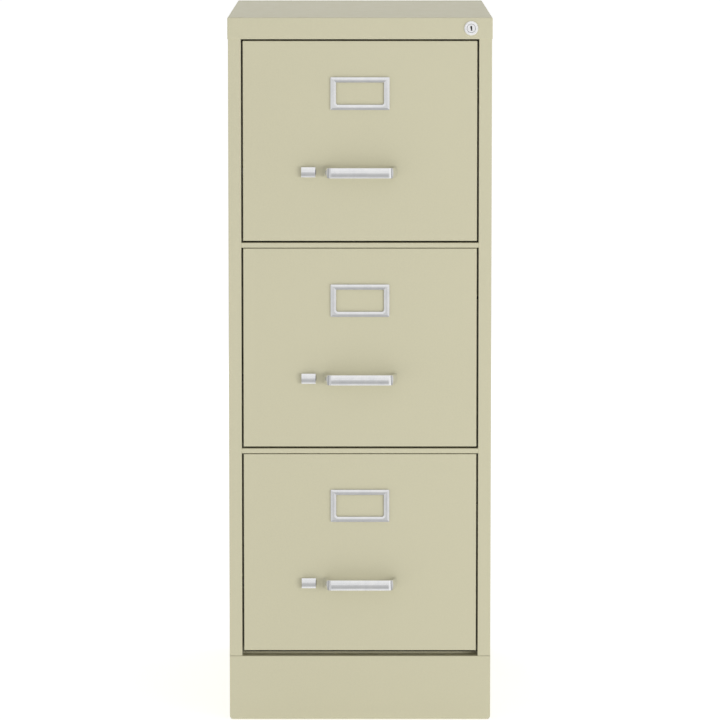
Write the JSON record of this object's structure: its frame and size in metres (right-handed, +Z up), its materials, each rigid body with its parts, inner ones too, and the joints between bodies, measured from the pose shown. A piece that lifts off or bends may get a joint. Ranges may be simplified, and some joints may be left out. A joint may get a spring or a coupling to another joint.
{
  "type": "vertical filing cabinet",
  "caption": "Vertical letter-size steel filing cabinet with drawers on telescopic slides, bail handles, label holders, thumb latches and a key lock.",
  "frame": {"origin": "bottom centre of the closed cabinet's box, handles included, on the floor", "axes": "+X to the cabinet's right seen from the front, +Y to its back, +Z up; drawers open to -Y"},
  "size_m": [0.381, 0.6632, 1.021],
  "materials": {
    "putty_paint": "semi-gloss baked enamel with a fine orange-peel texture",
    "chrome": "satin bright plating",
    "zinc_steel": "zinc-plated",
    "dark_steel": "black phosphated and oiled"
  },
  "bodies": {
    "case": {"top_panel": "putty_paint", "left_side_panel": "putty_paint", "right_side_panel": "putty_paint", "back_panel": "putty_paint", "kick_plate": "putty_paint", "base_channels": "putty_paint", "levelling_glides": "zinc_steel", "front_rail_lower": "putty_paint", "front_rail_upper": "putty_paint", "right_front_upright": "putty_paint", "right_rear_upright": "putty_paint", "left_front_upright": "putty_paint", "left_rear_upright": "putty_paint", "cabinet_slide_members": "zinc_steel", "lock_housing": "chrome"},
    "lock_core": {"lock_plug": "chrome", "lock_cam": "dark_steel"},
    "lock_bar": {"lock_bar": "dark_steel"},
    "lower_drawer": {"lower_drawer_front": "putty_paint", "lower_drawer_front_liner": "putty_paint", "lower_drawer_body": "putty_paint", "lower_drawer_back": "putty_paint", "lower_handle": "chrome", "lower_handle_screws": "zinc_steel", "lower_label_holder": "chrome", "lower_latch_spring": "zinc_steel", "lower_drawer_slide_members": "zinc_steel"},
    "lower_intermediate": {"lower_intermediate_slide_members": "zinc_steel"},
    "lower_outer_cages": {"lower_outer_ball_cages": "zinc_steel"},
    "lower_inner_cages": {"lower_inner_ball_cages": "zinc_steel"},
    "lower_latch": {"lower_thumb_latch_button": "chrome", "lower_latch_bolt": "dark_steel"},
    "middle_drawer": {"middle_drawer_front": "putty_paint", "middle_drawer_front_liner": "putty_paint", "middle_drawer_body": "putty_paint", "middle_drawer_back": "putty_paint", "middle_handle": "chrome", "middle_handle_screws": "zinc_steel", "middle_label_holder": "chrome", "middle_latch_spring": "zinc_steel", "middle_drawer_slide_members": "zinc_steel"},
    "middle_intermediate": {"middle_intermediate_slide_members": "zinc_steel"},
    "middle_outer_cages": {"middle_outer_ball_cages": "zinc_steel"},
    "middle_inner_cages": {"middle_inner_ball_cages": "zinc_steel"},
    "middle_latch": {"middle_thumb_latch_button": "chrome", "middle_latch_bolt": "dark_steel"},
    "upper_drawer": {"upper_drawer_front": "putty_paint", "upper_drawer_front_liner": "putty_paint", "upper_drawer_body": "putty_paint", "upper_drawer_back": "putty_paint", "upper_handle": "chrome", "upper_handle_screws": "zinc_steel", "upper_label_holder": "chrome", "upper_latch_spring": "zinc_steel", "upper_drawer_slide_members": "zinc_steel"},
    "upper_intermediate": {"upper_intermediate_slide_members": "zinc_steel"},
    "upper_outer_cages": {"upper_outer_ball_cages": "zinc_steel"},
    "upper_inner_cages": {"upper_inner_ball_cages": "zinc_steel"},
    "upper_latch": {"upper_thumb_latch_button": "chrome", "upper_latch_bolt": "dark_steel"}
  },
  "joints": [
    {"name": "lock_turn", "type": "hinge", "parent": "case", "child": "lock_core", "pos_m": [0.1596, -0.3026, 1.0057], "axis": [0, -1, 0], "range_deg": [0, 90]},
    {"name": "lock_bar_lift", "type": "slide", "parent": "case", "child": "lock_bar", "axis": [0, 0, 1], "range_m": [0, 0.0127]},
    {"name": "lower_drawer_slide", "type": "slide", "parent": "case", "child": "lower_drawer", "axis": [0, -1, 0], "range_m": [0, 0.56]},
    {"name": "lower_intermediate_slide", "type": "slide", "parent": "case", "child": "lower_intermediate", "axis": [0, -1, 0], "range_m": [0, 0.2801]},
    {"name": "lower_outer_cage_slide", "type": "slide", "parent": "case", "child": "lower_outer_cages", "axis": [0, -1, 0], "range_m": [0, 0.1401]},
    {"name": "lower_inner_cage_slide", "type": "slide", "parent": "case", "child": "lower_inner_cages", "axis": [0, -1, 0], "range_m": [0, 0.4201]},
    {"name": "lower_latch_slide", "type": "slide", "parent": "lower_drawer", "child": "lower_latch", "axis": [1, 0, 0], "range_m": [-0.004, 0.006], "stiffness_N_per_m": 400, "springref_m": -0.004, "deforming": ["lower_latch_spring"]},
    {"name": "middle_drawer_slide", "type": "slide", "parent": "case", "child": "middle_drawer", "axis": [0, -1, 0], "range_m": [0, 0.56]},
    {"name": "middle_intermediate_slide", "type": "slide", "parent": "case", "child": "middle_intermediate", "axis": [0, -1, 0], "range_m": [0, 0.2801]},
    {"name": "middle_outer_cage_slide", "type": "slide", "parent": "case", "child": "middle_outer_cages", "axis": [0, -1, 0], "range_m": [0, 0.1401]},
    {"name": "middle_inner_cage_slide", "type": "slide", "parent": "case", "child": "middle_inner_cages", "axis": [0, -1, 0], "range_m": [0, 0.4201]},
    {"name": "middle_latch_slide", "type": "slide", "parent": "middle_drawer", "child": "middle_latch", "axis": [1, 0, 0], "range_m": [-0.004, 0.006], "stiffness_N_per_m": 400, "springref_m": -0.004, "deforming": ["middle_latch_spring"]},
    {"name": "upper_drawer_slide", "type": "slide", "parent": "case", "child": "upper_drawer", "axis": [0, -1, 0], "range_m": [0, 0.56]},
    {"name": "upper_intermediate_slide", "type": "slide", "parent": "case", "child": "upper_intermediate", "axis": [0, -1, 0], "range_m": [0, 0.2801]},
    {"name": "upper_outer_cage_slide", "type": "slide", "parent": "case", "child": "upper_outer_cages", "axis": [0, -1, 0], "range_m": [0, 0.1401]},
    {"name": "upper_inner_cage_slide", "type": "slide", "parent": "case", "child": "upper_inner_cages", "axis": [0, -1, 0], "range_m": [0, 0.4201]},
    {"name": "upper_latch_slide", "type": "slide", "parent": "upper_drawer", "child": "upper_latch", "axis": [1, 0, 0], "range_m": [-0.004, 0.006], "stiffness_N_per_m": 400, "springref_m": -0.004, "deforming": ["upper_latch_spring"]}
  ],
  "couplings": [
    {"joint": "lock_turn", "follows": "lock_bar_lift", "rad_per_m": 123.4},
    {"joint": "lower_intermediate_slide", "follows": "lower_drawer_slide", "ratio": 0.5},
    {"joint": "lower_outer_cage_slide", "follows": "lower_drawer_slide", "ratio": 0.25},
    {"joint": "lower_inner_cage_slide", "follows": "lower_drawer_slide", "ratio": 0.75},
    {"joint": "middle_intermediate_slide", "follows": "middle_drawer_slide", "ratio": 0.5},
    {"joint": "middle_outer_cage_slide", "follows": "middle_drawer_slide", "ratio": 0.25},
    {"joint": "middle_inner_cage_slide", "follows": "middle_drawer_slide", "ratio": 0.75},
    {"joint": "upper_intermediate_slide", "follows": "upper_drawer_slide", "ratio": 0.5},
    {"joint": "upper_outer_cage_slide", "follows": "upper_drawer_slide", "ratio": 0.25},
    {"joint": "upper_inner_cage_slide", "follows": "upper_drawer_slide", "ratio": 0.75}
  ]
}
